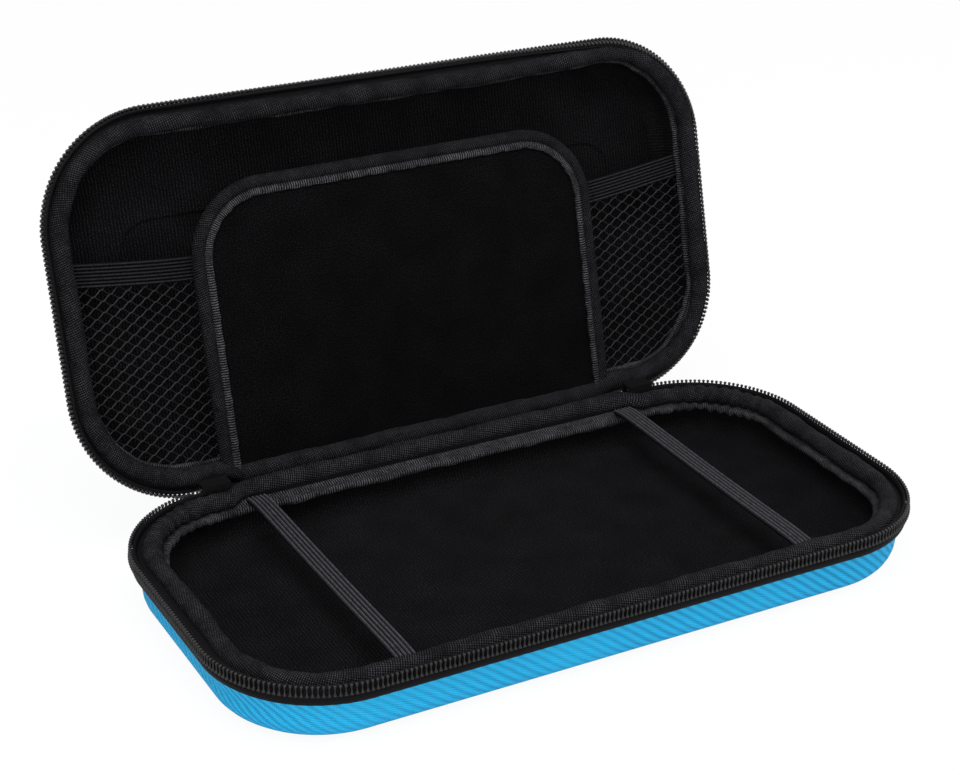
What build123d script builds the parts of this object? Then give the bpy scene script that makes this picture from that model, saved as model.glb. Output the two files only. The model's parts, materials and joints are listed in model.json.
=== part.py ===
"""Clamshell carrying case for a portable game console, standing open on its cloth hinge.

Millimetres. The origin is the centre of the base's underside, +X runs along the case,
+Y points to the hinge and +Z points up. Each half is drawn on its rim plane: local +Z
is the depth into that half, and local +Y points away from the hinge.
"""

import os
from math import atan2, cos, degrees, hypot, radians, sin

from build123d import *

# Moulded halves
case_length = 256.0
case_width = 132.0
corner_radius = 39.0
base_height = 24.0
lid_depth = 24.0
rim_drop = 5.0
wall_draft = 3.5
edge_radius = 9.0
shell_wall = 3.0
base_floor = 5.0
lid_top = 2.6
lining_wall = 1.0
emboss_length = 198.0
emboss_width = 56.0
emboss_radius = 12.0
emboss_height = 0.8

# Cloth hinge
open_angle = 104.5
hinge_offset = 1.7
hinge_drop = 5.1
zip_tail = 9.0
strip_thick = 0.8
strip_lap = 4.0

# Zip
tape_thick = 0.8
tape_lap = 4.0
coil_thick = 2.2
coil_width = 4.6
coil_clear = 0.3
rib_pitch = 3.2
rib_gap = 1.3
rib_depth = 0.9
end_gap = 0.4

# Zip slider and pull
slider_length = 10.0
slider_plate = 0.9
slider_clear = 0.3
slider_skirt = 5.6
tab_width = 5.0
pin_radius = 0.8
pin_head = 1.5
head_thick = 0.5
pull_thick = 1.2
pull_length = 13.0
pull_width = 5.0
pull_tip = 7.0
pull_clear = 0.3
pivot_drop = 8.0

# Rim binding
binding_gap = 1.6
roll_radius = 2.9
groove = 0.5
lip_reach = 2.2
lip_drop = 2.6
lip_thick = 1.2

# Elastic straps in the base
strap_spacing = 148.0
strap_width = 7.2
elastic_thick = 1.4
elastic_ribs = 5
rib_round = 0.65
strap_clear = 0.3

# Lid pocket
net_thick = 0.8
net_clear = 0.3
net_pitch = 12.0
net_hole = 9.0
net_hem = 5.0
pocket_height = 72.0
band_width = 8.5
band_thick = 1.6

# Padded flap
flap_width = 158.0
flap_height = 97.0
flap_corner = 28.0
flap_edge = 6.0
flap_depth = 1.5
flap_thick = 5.0
flap_round = 2.0
flap_clear = 0.4
pad_recess = 0.6

# Rim planes of the two halves
hinge_y = case_width / 2 + hinge_offset
hinge_z = base_height - hinge_drop
hinge_half = case_length / 2 - corner_radius - zip_tail
swing = radians(open_angle)
base_rim = Plane(origin=(0, 0, base_height), x_dir=(1, 0, 0), z_dir=(0, 0, -1))
lid_rim = Plane(
    origin=(
        0,
        hinge_y * (1 - cos(swing)) + hinge_drop * sin(swing),
        hinge_z + hinge_y * sin(swing) + hinge_drop * cos(swing),
    ),
    x_dir=(-1, 0, 0),
    z_dir=(0, sin(swing), cos(swing)),
)
lining_face = shell_wall + lining_wall
coil_face = tape_thick + coil_thick


def outline(inset, mode=Mode.ADD):
    """Rounded outline of the case, moved in from the shell's rim by inset."""
    return RectangleRounded(
        case_length - 2 * inset, case_width - 2 * inset, corner_radius - inset, mode=mode
    )


def lean(depth, half_depth):
    """How far the drafted wall has come in at a depth below the rim plane."""
    return wall_draft * (depth - rim_drop) / (half_depth - rim_drop)


def tub(rim, half_depth, inset, floor, edge):
    """Drafted solid of one half, moved in by inset at the walls and by floor at the floor."""
    bottom = half_depth - floor
    with BuildPart() as form:
        with BuildSketch(rim.offset(rim_drop)):
            outline(inset)
        with BuildSketch(rim.offset(bottom)):
            outline(inset + lean(bottom, half_depth))
        loft(ruled=True)
        floor_face = form.faces().sort_by(Axis(rim.origin, rim.z_dir))[-1]
        fillet(floor_face.edges(), edge)
    return form.part


def hinge_cut(rim, half_length, half_depth):
    """Block at the hinge side of the rim that ends a zip part at half_length."""
    with BuildPart() as block:
        with BuildSketch(rim):
            with Locations((0, -case_width / 2)):
                Rectangle(2 * half_length, 2 * (corner_radius - lining_face))
        extrude(amount=half_depth)
    return block.part


def zip_tape(rim, half_depth, half_length):
    """Woven tape: sewn round the top of the wall, and standing up past it to the teeth."""
    lap_end = rim_drop + tape_lap
    cut = hinge_cut(rim, half_length, half_depth)
    with BuildPart() as tape:
        for inset, mode in ((-tape_thick, Mode.ADD), (0, Mode.SUBTRACT)):
            with BuildSketch(rim.offset(rim_drop)):
                outline(inset)
            with BuildSketch(rim.offset(lap_end)):
                outline(inset + lean(lap_end, half_depth))
            loft(ruled=True, mode=mode)
        with BuildSketch(rim.offset(coil_clear)):
            outline(-tape_thick)
            outline(0, mode=Mode.SUBTRACT)
        extrude(amount=rim_drop - coil_clear)
        add(cut, mode=Mode.SUBTRACT)
    return tape


def zip_coil(rim, half_depth, half_length):
    """Row of ribbed zip teeth on the outer face of the tape."""
    with BuildSketch() as face:
        outline(-coil_face)
    path = face.wire()
    count = round(path.length / rib_pitch)
    spots = []
    for i in range(count):
        point = path @ (i / count)
        along = path % (i / count)
        if point.Y > 0 or abs(point.X) > half_length:
            spots.append(Location((point.X, point.Y), degrees(atan2(along.Y, along.X))))
    cut = hinge_cut(rim, half_length, half_depth)
    with BuildPart() as coil:
        with BuildSketch(rim.offset(coil_clear)):
            outline(-coil_face)
            outline(-tape_thick, mode=Mode.SUBTRACT)
            with Locations(*spots):
                Rectangle(rib_gap, 2 * rib_depth, mode=Mode.SUBTRACT)
        extrude(amount=coil_width)
        add(cut, mode=Mode.SUBTRACT)
    return coil


def rim_binding(rim):
    """Rolled binding on the shell's edge, with a flared lip inside its stitch groove."""
    half_x = case_length / 2
    half_y = case_width / 2
    with BuildLine(rim) as edge:
        FilletPolyline(
            (-half_x, -half_y),
            (half_x, -half_y),
            (half_x, half_y),
            (-half_x, half_y),
            radius=corner_radius,
            close=True,
        )
    start = edge.line @ 0
    along = edge.line % 0
    section = Plane(origin=start, x_dir=rim.z_dir.cross(along), z_dir=along)
    crown = coil_clear + roll_radius
    roll_end = binding_gap + 2 * roll_radius
    seam = roll_end - groove
    wall = lining_face + lip_thick
    with BuildPart() as binding:
        with BuildSketch(section):
            with BuildLine():
                Line((binding_gap, rim_drop), (binding_gap, crown))
                ThreePointArc(
                    (binding_gap, crown),
                    (binding_gap + roll_radius, coil_clear),
                    (roll_end, crown),
                )
                Polyline(
                    (roll_end, crown),
                    (seam, rim_drop),
                    (seam + lip_reach, rim_drop + lip_drop),
                    (seam + lip_reach - lip_thick, rim_drop + lip_drop + lip_thick),
                    (wall, rim_drop + lip_thick),
                    (wall, rim_drop),
                    (binding_gap, rim_drop),
                )
            make_face()
        sweep(path=edge.wire())
    return binding


def ribbed_band(plane, width, thick, length):
    """Elastic band along the plane's normal, with ribs on the side away from local -Y."""
    pitch = width / elastic_ribs
    with BuildPart() as band:
        with BuildSketch(plane):
            Rectangle(width, thick)
            with Locations((0, thick / 2)):
                with GridLocations(pitch, pitch, elastic_ribs, 1):
                    Circle(rib_round)
        extrude(amount=length / 2, both=True)
    return band


# Base shell and its lining
base_outside = tub(base_rim, base_height, 0, 0, edge_radius)
base_inside = tub(base_rim, base_height, shell_wall, base_floor, edge_radius - shell_wall)
base_tray = tub(
    base_rim, base_height, lining_face, base_floor + lining_wall, edge_radius - lining_face
)

with BuildPart() as base_shell:
    add(base_outside)
    add(base_inside, mode=Mode.SUBTRACT)

with BuildPart() as base_lining:
    add(base_inside)
    add(base_tray, mode=Mode.SUBTRACT)

# Lid shell with its pressed panel, and its lining
lid_outside = tub(lid_rim, lid_depth, 0, 0, edge_radius)
lid_inside = tub(lid_rim, lid_depth, shell_wall, lid_top, edge_radius - shell_wall)
lid_tray = tub(
    lid_rim, lid_depth, lining_face, lid_top + lining_wall, edge_radius - lining_face
)

with BuildPart() as lid_shell:
    add(lid_outside)
    add(lid_inside, mode=Mode.SUBTRACT)
    with BuildSketch(lid_rim.offset(lid_depth)):
        RectangleRounded(emboss_length, emboss_width, emboss_radius)
    extrude(amount=-emboss_height, mode=Mode.SUBTRACT)

with BuildPart() as lid_lining:
    add(lid_inside)
    add(lid_tray, mode=Mode.SUBTRACT)
    with BuildSketch(lid_rim.offset(lid_depth - lid_top - lining_wall)):
        RectangleRounded(emboss_length, emboss_width, emboss_radius)
    extrude(amount=-emboss_height)

# Zip halves: the lid's half stops short of the parked sliders
base_zip_end = hinge_half + end_gap
lid_zip_end = base_zip_end + slider_length + 2 * end_gap
base_zip_tape = zip_tape(base_rim, base_height, base_zip_end)
base_zip_coil = zip_coil(base_rim, base_height, base_zip_end)
lid_zip_tape = zip_tape(lid_rim, lid_depth, lid_zip_end)
lid_zip_coil = zip_coil(lid_rim, lid_depth, lid_zip_end)

# Rolled bindings round both rims
base_rim_binding = rim_binding(base_rim)
lid_rim_binding = rim_binding(lid_rim)

# Elastic straps across the base, between the rolls of its binding
strap_length = case_width - 2 * (binding_gap + 2 * roll_radius + strap_clear)
strap_z = base_height - coil_clear - roll_radius
straps = []
for side in (-1, 1):
    across = Plane(origin=(side * strap_spacing / 2, 0, strap_z), x_dir=(1, 0, 0), z_dir=(0, -1, 0))
    straps.append(ribbed_band(across, strap_width, elastic_thick, strap_length))
strap_left, strap_right = straps

# Net pocket in the lid: a sheet with diamond holes under the binding's lip
net_depth = rim_drop + lip_drop + lip_thick + net_clear
net_inset = lining_face + lean(net_depth, lid_depth) + net_clear
net_top = pocket_height - case_width / 2
net_centre_y = case_width / 2 - corner_radius
net_reach = corner_radius - net_inset - net_hem
net_columns = 2 * int((case_length / 2 - net_inset - net_hem) / net_pitch) + 1
net_rows = int((pocket_height - net_inset - net_hem) / net_pitch)
holes = []
for column in range(net_columns):
    for row in range(net_rows):
        x = (column - net_columns // 2) * net_pitch
        y = net_top - net_hem - (row + 0.5) * net_pitch
        past_x = max(abs(x) + net_hole / 2 - case_length / 2 + corner_radius, 0)
        past_y = max(net_hole / 2 - y - net_centre_y, 0)
        if hypot(past_x, past_y) < net_reach:
            holes.append((x, y))

with BuildPart() as mesh_pocket:
    with BuildSketch(lid_rim.offset(net_depth)):
        outline(net_inset)
        with Locations((0, net_top + case_width / 2)):
            Rectangle(case_length, case_width, mode=Mode.SUBTRACT)
        with Locations(*holes):
            Rectangle(net_hole / 2**0.5, net_hole / 2**0.5, rotation=45, mode=Mode.SUBTRACT)
    extrude(amount=net_thick)

# Ribbed elastic along the pocket's mouth, ribs towards the rim
band_middle = lid_rim.from_local_coords(
    Vector(0, net_top + band_width / 2, net_depth + rib_round + band_thick / 2)
)
band_plane = Plane(origin=band_middle, x_dir=lid_rim.y_dir, z_dir=lid_rim.x_dir)
band_length = case_length - 2 * (net_inset + net_clear)
pocket_elastic = ribbed_band(band_plane, band_width, band_thick, band_length)

# Padded flap, sewn at its foot beside the lid's binding
flap_foot = -case_width / 2 + binding_gap + 2 * roll_radius + flap_clear
flap_middle = flap_foot + flap_height / 2

with BuildPart() as flap_binding:
    with BuildSketch(lid_rim.offset(flap_depth)) as frame:
        with Locations((0, flap_middle)):
            Rectangle(flap_width, flap_height)
        fillet(frame.vertices().group_by(Axis.Y)[-1], flap_corner)
    extrude(amount=flap_thick)
    fillet(flap_binding.edges().filter_by(lid_rim), flap_round)
    with BuildSketch(lid_rim.offset(flap_depth)) as window:
        with Locations((0, flap_middle - flap_edge / 2)):
            Rectangle(flap_width - 2 * flap_edge, flap_height - flap_edge)
        fillet(window.vertices().group_by(Axis.Y)[-1], flap_corner - flap_edge)
    extrude(amount=flap_thick, mode=Mode.SUBTRACT)

with BuildPart() as flap_pad:
    with BuildSketch(lid_rim.offset(flap_depth + pad_recess)) as panel:
        with Locations((0, flap_middle - flap_edge / 2)):
            Rectangle(flap_width - 2 * flap_edge, flap_height - flap_edge)
        fillet(panel.vertices().group_by(Axis.Y)[-1], flap_corner - flap_edge)
    extrude(amount=flap_thick - 2 * pad_recess)


def opened(out, up):
    """Where a point of the shut lid, out from the rear wall and up from the rim, goes when open."""
    arm = hinge_offset - out
    rise = hinge_drop + up
    return (
        hinge_y - arm * cos(swing) + rise * sin(swing),
        hinge_z + arm * sin(swing) + rise * cos(swing),
    )


# Hinge strip: lapped on both rear walls and bent between them
lap_low = rim_drop + strip_lap
base_lean = lean(lap_low, base_height)
lid_lean = lean(lap_low, lid_depth)
rear = case_width / 2

with BuildPart() as hinge_strip:
    with BuildSketch(Plane.YZ):
        with BuildLine():
            Polyline(
                (rear - base_lean, base_height - lap_low),
                (rear, base_height - rim_drop),
                opened(0, rim_drop),
                opened(-lid_lean, lap_low),
                opened(strip_thick - lid_lean, lap_low),
                opened(strip_thick, rim_drop),
                (rear + strip_thick, base_height - rim_drop - strip_thick),
                (rear + strip_thick - base_lean, base_height - lap_low),
                close=True,
            )
        make_face()
    extrude(amount=hinge_half, both=True)

# Sliders parked at both ends of the zip, each with a pull pinned inside its tab
plate_in = rear + coil_face + slider_clear
plate_out = plate_in + slider_plate
back_out = rear - slider_clear
back_in = back_out - slider_plate
skirt_z = base_height - slider_skirt
pivot_z = base_height - pivot_drop
pull_out = plate_in - pull_clear
pin_end = pull_out - pull_thick - pull_clear
slider_middle = base_zip_end + end_gap + slider_length / 2


def zip_slider(side):
    """Saddle over the teeth, with a tab below it that carries the pull's pin."""
    middle = side * slider_middle
    with BuildPart() as slider:
        with BuildSketch(Plane.YZ.offset(middle)):
            with BuildLine():
                Polyline(
                    (plate_out, skirt_z),
                    (plate_out, base_height + slider_plate),
                    (back_in, base_height + slider_plate),
                    (back_in, base_height - rim_drop + slider_clear),
                    (back_out, base_height - rim_drop + slider_clear),
                    (back_out, base_height),
                    (plate_in, base_height),
                    (plate_in, skirt_z),
                    close=True,
                )
            make_face()
        extrude(amount=slider_length / 2, both=True)
        with BuildSketch(Plane.XZ.offset(-plate_in)):
            with Locations((middle, pivot_z)):
                Circle(tab_width / 2)
            with Locations((middle, (pivot_z + skirt_z) / 2)):
                Rectangle(tab_width, skirt_z - pivot_z)
        extrude(amount=-slider_plate)
        with BuildSketch(Plane.XZ.offset(-plate_in)):
            with Locations((middle, pivot_z)):
                Circle(pin_radius)
        extrude(amount=plate_in - pin_end)
        with BuildSketch(Plane.XZ.offset(-pin_end)):
            with Locations((middle, pivot_z)):
                Circle(pin_head)
        extrude(amount=head_thick)
    return slider


def zip_pull(side):
    """Flat pull with its eye round the pin."""
    middle = side * slider_middle
    tip_z = pivot_z - pull_length + pull_tip / 2
    with BuildPart() as pull:
        with BuildSketch(Plane.XZ.offset(-pull_out)):
            with Locations((middle, pivot_z)):
                Circle(pull_width / 2)
            with Locations((middle, tip_z)):
                Circle(pull_tip / 2)
            make_hull()
            with Locations((middle, pivot_z)):
                Circle(pin_radius + pull_clear, mode=Mode.SUBTRACT)
            with Locations((middle, tip_z)):
                Circle(pull_tip / 4, mode=Mode.SUBTRACT)
        extrude(amount=pull_thick)
    return pull


zip_slider_left = zip_slider(-1)
zip_slider_right = zip_slider(1)
zip_pull_left = zip_pull(-1)
zip_pull_right = zip_pull(1)

# One file for each piece
pieces = {
    "base_shell": base_shell,
    "base_lining": base_lining,
    "base_zip_tape": base_zip_tape,
    "base_zip_coil": base_zip_coil,
    "base_rim_binding": base_rim_binding,
    "strap_left": strap_left,
    "strap_right": strap_right,
    "lid_shell": lid_shell,
    "lid_lining": lid_lining,
    "lid_zip_tape": lid_zip_tape,
    "lid_zip_coil": lid_zip_coil,
    "lid_rim_binding": lid_rim_binding,
    "mesh_pocket": mesh_pocket,
    "pocket_elastic": pocket_elastic,
    "flap_pad": flap_pad,
    "flap_binding": flap_binding,
    "hinge_strip": hinge_strip,
    "zip_slider_left": zip_slider_left,
    "zip_slider_right": zip_slider_right,
    "zip_pull_left": zip_pull_left,
    "zip_pull_right": zip_pull_right,
}
os.makedirs("parts", exist_ok=True)
for name, piece in pieces.items():
    piece.part.label = name
    export_step(piece.part, f"parts/{name}.step")
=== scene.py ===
import json
import math

import bmesh
import bpy
import numpy as np
from mathutils import Matrix, Vector


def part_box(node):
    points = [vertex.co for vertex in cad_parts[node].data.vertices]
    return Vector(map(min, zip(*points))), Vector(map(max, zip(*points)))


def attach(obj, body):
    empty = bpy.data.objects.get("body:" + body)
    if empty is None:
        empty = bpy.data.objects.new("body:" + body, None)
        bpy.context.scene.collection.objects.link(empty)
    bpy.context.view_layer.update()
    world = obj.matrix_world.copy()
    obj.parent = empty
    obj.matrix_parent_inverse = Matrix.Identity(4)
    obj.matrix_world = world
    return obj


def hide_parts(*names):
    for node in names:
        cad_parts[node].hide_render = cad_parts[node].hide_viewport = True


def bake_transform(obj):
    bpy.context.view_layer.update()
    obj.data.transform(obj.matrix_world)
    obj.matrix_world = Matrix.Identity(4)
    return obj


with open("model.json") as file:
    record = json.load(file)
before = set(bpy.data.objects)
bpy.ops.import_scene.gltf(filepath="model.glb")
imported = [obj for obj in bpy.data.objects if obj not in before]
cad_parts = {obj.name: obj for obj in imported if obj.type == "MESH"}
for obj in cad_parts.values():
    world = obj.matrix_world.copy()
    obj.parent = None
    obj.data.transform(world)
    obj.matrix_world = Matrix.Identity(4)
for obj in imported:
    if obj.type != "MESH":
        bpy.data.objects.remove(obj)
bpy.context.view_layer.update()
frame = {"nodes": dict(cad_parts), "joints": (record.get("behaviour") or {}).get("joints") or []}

# Moulded shells: two shallow tubs of foam faced with blue twill, pressed in a heated mould.
# They meet at the zip and swing on a cloth hinge; the lid has a plain panel pressed into its top.
hinge = next(j for j in frame["joints"] if j["name"] == "lid_hinge")
hinge_y, hinge_z = hinge["pos_m"][1], hinge["pos_m"][2]
swing = math.radians(-hinge["range_deg"][0])
shell_low, shell_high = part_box("base_shell")
half_length = shell_high.x
half_width = shell_high.y
rim_drop = 0.005
rim_z = shell_high.z + rim_drop
half_depth = rim_z - shell_low.z
corner = 0.039
draft = 0.0035
shell_wall = 0.003
floor_thick = {"base": 0.005, "lid": 0.0026}
floor_round = 0.009
panel_half = (0.099, 0.028)
panel_corner = 0.012
panel_press = 0.0008


def in_base(points):
    """Puts points (along, to the front, depth below the rim plane) in the base."""
    along, front, depth = np.asarray(points, float).reshape(-1, 3).T
    return np.column_stack((along, -front, rim_z - depth))


def in_lid(points):
    """Puts points (along, to the front, depth above the rim plane) in the open lid."""
    along, front, depth = np.asarray(points, float).reshape(-1, 3).T
    c, s = math.cos(swing), math.sin(swing)
    ahead, above = -front - hinge_y, rim_z + depth - hinge_z
    return np.column_stack((along, hinge_y + ahead * c + above * s, hinge_z - ahead * s + above * c))


HALVES = {"base": in_base, "lid": in_lid}


def rounded_run(half_x, half_y, radius, stations):
    """Place and outward direction round a rounded rectangle, at runs counted from the middle of
    the hinge side, and its whole length."""
    flat_x, flat_y, bend = half_x - radius, half_y - radius, math.pi / 2 * radius
    legs = [flat_x, bend, 2 * flat_y, bend, 2 * flat_x, bend, 2 * flat_y, bend, flat_x]
    ends = np.cumsum(legs)
    whole = ends[-1]
    centres = [(flat_x, -flat_y), (flat_x, flat_y), (-flat_x, flat_y), (-flat_x, -flat_y)]
    starts = [(0, -half_y), (half_x, -flat_y), (flat_x, half_y), (-half_x, flat_y), (-flat_x, -half_y)]
    places, outs = [], []
    for station in np.asarray(stations) % whole:
        leg = min(int(np.searchsorted(ends, station, side="right")), 8)
        past = station - (ends[leg - 1] if leg else 0)
        turn = leg // 2 * math.pi / 2 - math.pi / 2
        if leg % 2:
            turn += past / radius
            centre = centres[leg // 2]
            out = (math.cos(turn), math.sin(turn))
            place = (centre[0] + radius * out[0], centre[1] + radius * out[1])
        else:
            out = (math.cos(turn), math.sin(turn))
            start = starts[leg // 2]
            place = (start[0] - out[1] * past, start[1] + out[0] * past)
        places.append(place)
        outs.append(out)
    return np.array(places), np.array(outs), whole


rim_length = rounded_run(half_length, half_width, corner, [0])[2]


def rim_run(stations):
    """Places and outward directions round the rim."""
    return rounded_run(half_length, half_width, corner, stations)[:2]


def wall_lean(depth):
    """How far the drafted wall lies inside the rim's outline at a depth."""
    return draft * (depth - rim_drop) / (half_depth - rim_drop)


def tub_profile(inset, floor, radius, steps=9):
    """(out, depth) points of one skin of a half, from the edge of its floor up to its rim."""
    foot = half_depth - floor
    slope = math.atan2(draft, half_depth - rim_drop)
    centre_out = -inset - wall_lean(foot) - radius * (1 - math.sin(slope)) / math.cos(slope)
    centre_depth = foot - radius
    points = []
    for i in range(steps + 1):
        turn = math.pi / 2 - i / steps * (math.pi / 2 + slope)
        points.append((centre_out + radius * math.cos(turn), centre_depth + radius * math.sin(turn)))
    low_out, low_depth = points[-1]
    wall_steps = 5
    for i in range(1, wall_steps + 1):
        t = i / wall_steps
        points.append((low_out + t * (-inset - low_out), low_depth + t * (rim_drop - low_depth)))
    return points


def new_piece(name, verts, faces, uvs=None):
    """Mesh object in the scene, with a UV map in metres of cloth where one is given."""
    mesh = bpy.data.meshes.new(name)
    mesh.from_pydata(np.asarray(verts, float).tolist(), [], faces)
    if uvs is not None:
        layer = mesh.uv_layers.new(name="cloth")
        layer.data.foreach_set("uv", np.asarray(uvs, np.float32).ravel())
    piece = bpy.data.objects.new(name, mesh)
    bpy.context.scene.collection.objects.link(piece)
    return piece


def face_outwards(piece):
    work = bmesh.new()
    work.from_mesh(piece.data)
    bmesh.ops.recalc_face_normals(work, faces=work.faces)
    work.to_mesh(piece.data)
    work.free()


def smooth(piece, angle=40):
    piece.data.shade_smooth()
    piece.data.set_sharp_from_angle(angle=math.radians(angle))


def dress(piece, material, body, slot, *nodes):
    """Gives a piece its material and body, and hides the CAD nodes that it stands for. The slot is not
    used.
    """
    piece.data.materials.clear()
    piece.data.materials.append(material)
    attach(piece, body)
    if nodes:
        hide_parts(*nodes)
    return piece


def tub_skin(name, half, outer, inner, panel=0.0):
    """Closed tub of two skins joined at the rim. The cloth's UV map is flat on the floor, and on the
    walls it runs round the rim and up; the two agree along the front."""
    count = 480
    stations = np.arange(count) / count * rim_length
    places, outs = rim_run(stations)
    profile = list(outer) + list(reversed(inner))
    flat = [0.0]
    for a, b in zip(profile[:-1], profile[1:]):
        flat.append(flat[-1] + math.hypot(b[0] - a[0], b[1] - a[1]))
    middle = len(outer)
    verts, heights = [], []
    for k, (out, depth) in enumerate(profile):
        reach = flat[k] if k < middle else flat[-1] - flat[k]
        start = profile[0][0] if k < middle else profile[-1][0]
        verts.append(np.column_stack((places + outs * out, np.full(count, depth))))
        heights.append(half_width + start + reach)
    verts = np.concatenate(verts)
    faces, uvs = [], []
    for k in range(len(profile) - 1):
        low, high = heights[k], heights[k + 1]
        for i in range(count):
            j = (i + 1) % count
            faces.append((k * count + i, k * count + j, (k + 1) * count + j, (k + 1) * count + i))
            here = rim_length / 2 - stations[i]
            ahead = here - rim_length / count
            uvs += [(here, low), (ahead, low), (ahead, high), (here, high)]
    last = (len(profile) - 1) * count
    for cap in (tuple(range(count - 1, -1, -1)), tuple(last + i for i in range(count))):
        faces.append(cap)
        uvs += [tuple(verts[v][:2]) for v in cap]
    piece = new_piece(name, HALVES[half](verts), faces, uvs)
    face_outwards(piece)
    if panel:
        press_panel(piece, half, profile[0][1], panel)
    smooth(piece, 35)
    return piece


def press_panel(piece, half, depth, press):
    """Presses a rounded panel into the flat cap that lies at a depth, with a step that is soft in the
    outer cloth and crisp in the lining."""
    step_width = 0.0020 if press > 0 else 0.0011
    work = bmesh.new()
    work.from_mesh(piece.data)
    layer = work.loops.layers.uv.active
    level = HALVES[half]([(0, 0, depth)])[0]
    caps = [f for f in work.faces if len(f.verts) > 100]
    cap = min(caps, key=lambda f: np.linalg.norm(np.array(f.calc_center_median()) - level))
    edges = list(cap.edges)
    flat = {loop.vert: loop[layer].uv.copy() for loop in cap.loops}
    bmesh.ops.delete(work, geom=[cap], context="FACES_ONLY")
    count = 160
    shares = np.arange(count) / count
    rings = []
    for inset, drop in ((0.0, 0.0), (step_width / 2, press / 2), (step_width, press)):
        size = (panel_half[0] - inset, panel_half[1] - inset, panel_corner - inset)
        spots = rounded_run(*size, shares * rounded_run(*size, [0])[2])[0]
        places = HALVES[half](np.column_stack((spots, np.full(count, depth - drop))))
        rings.append([work.verts.new(p) for p in places])
        flat.update(zip(rings[-1], spots))
    step = [work.edges.new((rings[0][i], rings[0][(i + 1) % count])) for i in range(count)]
    fill = bmesh.ops.triangle_fill(work, use_beauty=True, edges=edges + step)["geom"]
    new_faces = [f for f in fill if isinstance(f, bmesh.types.BMFace)]
    for a, b in zip(rings[:-1], rings[1:]):
        for i in range(count):
            j = (i + 1) % count
            new_faces.append(work.faces.new((a[i], a[j], b[j], b[i])))
    new_faces.append(work.faces.new(rings[-1]))
    for face in new_faces:
        for loop in face.loops:
            loop[layer].uv = flat[loop.vert]
    bmesh.ops.recalc_face_normals(work, faces=work.faces)
    work.to_mesh(piece.data)
    work.free()


def cloth_material(name, colour, rough, shine):
    """New material with its UV in metres; returns it with its tree, its shader and the UV output."""
    material = bpy.data.materials.new(name)
    material.use_nodes = True
    tree = material.node_tree
    shader = tree.nodes["Principled BSDF"]
    shader.inputs["Base Color"].default_value = (*colour, 1)
    shader.inputs["Roughness"].default_value = rough
    shader.inputs["Specular IOR Level"].default_value = shine
    uv = tree.nodes.new("ShaderNodeUVMap")
    uv.uv_map = "cloth"
    return material, tree, shader, uv.outputs["UV"]


def math_node(tree, kind, *values):
    node = tree.nodes.new("ShaderNodeMath")
    node.operation = kind
    for socket, value in zip(node.inputs, values):
        if isinstance(value, (int, float)):
            socket.default_value = value
        else:
            tree.links.new(value, socket)
    return node.outputs[0]


def ridges(tree, uv, across, pitch, stray=None, sway=0.0):
    """Wave from 0 to 1 whose crests run across a direction of the cloth, a pitch apart.
    A noise given as stray pushes the crests about, by up to sway radians."""
    dot = tree.nodes.new("ShaderNodeVectorMath")
    dot.operation = "DOT_PRODUCT"
    size = math.hypot(*across)
    dot.inputs[1].default_value = (across[0] / size, across[1] / size, 0)
    tree.links.new(uv, dot.inputs[0])
    phase = math_node(tree, "MULTIPLY", dot.outputs["Value"], 2 * math.pi / pitch)
    if stray is not None:
        phase = math_node(tree, "MULTIPLY_ADD", stray, sway, phase)
    return math_node(tree, "MULTIPLY_ADD", math_node(tree, "SINE", phase), 0.5, 0.5)


def speckle(tree, uv, scale, detail=2.0, stretch=(1, 1, 1)):
    """Soft noise on the cloth, scale in marks per metre."""
    move = tree.nodes.new("ShaderNodeMapping")
    move.inputs["Scale"].default_value = stretch
    tree.links.new(uv, move.inputs["Vector"])
    noise = tree.nodes.new("ShaderNodeTexNoise")
    noise.inputs["Scale"].default_value = scale
    noise.inputs["Detail"].default_value = detail
    tree.links.new(move.outputs["Vector"], noise.inputs["Vector"])
    return noise.outputs["Fac"]


def two_tone(tree, shader, factor, dark, light):
    mix = tree.nodes.new("ShaderNodeMix")
    mix.data_type = "RGBA"
    mix.inputs["A"].default_value = (*dark, 1)
    mix.inputs["B"].default_value = (*light, 1)
    tree.links.new(factor, mix.inputs["Factor"])
    tree.links.new(mix.outputs["Result"], shader.inputs["Base Color"])


def emboss(tree, shader, height, distance, strength=1.0):
    bump = tree.nodes.new("ShaderNodeBump")
    bump.inputs["Distance"].default_value = distance
    bump.inputs["Strength"].default_value = strength
    tree.links.new(height, bump.inputs["Height"])
    tree.links.new(bump.outputs["Normal"], shader.inputs["Normal"])


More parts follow.
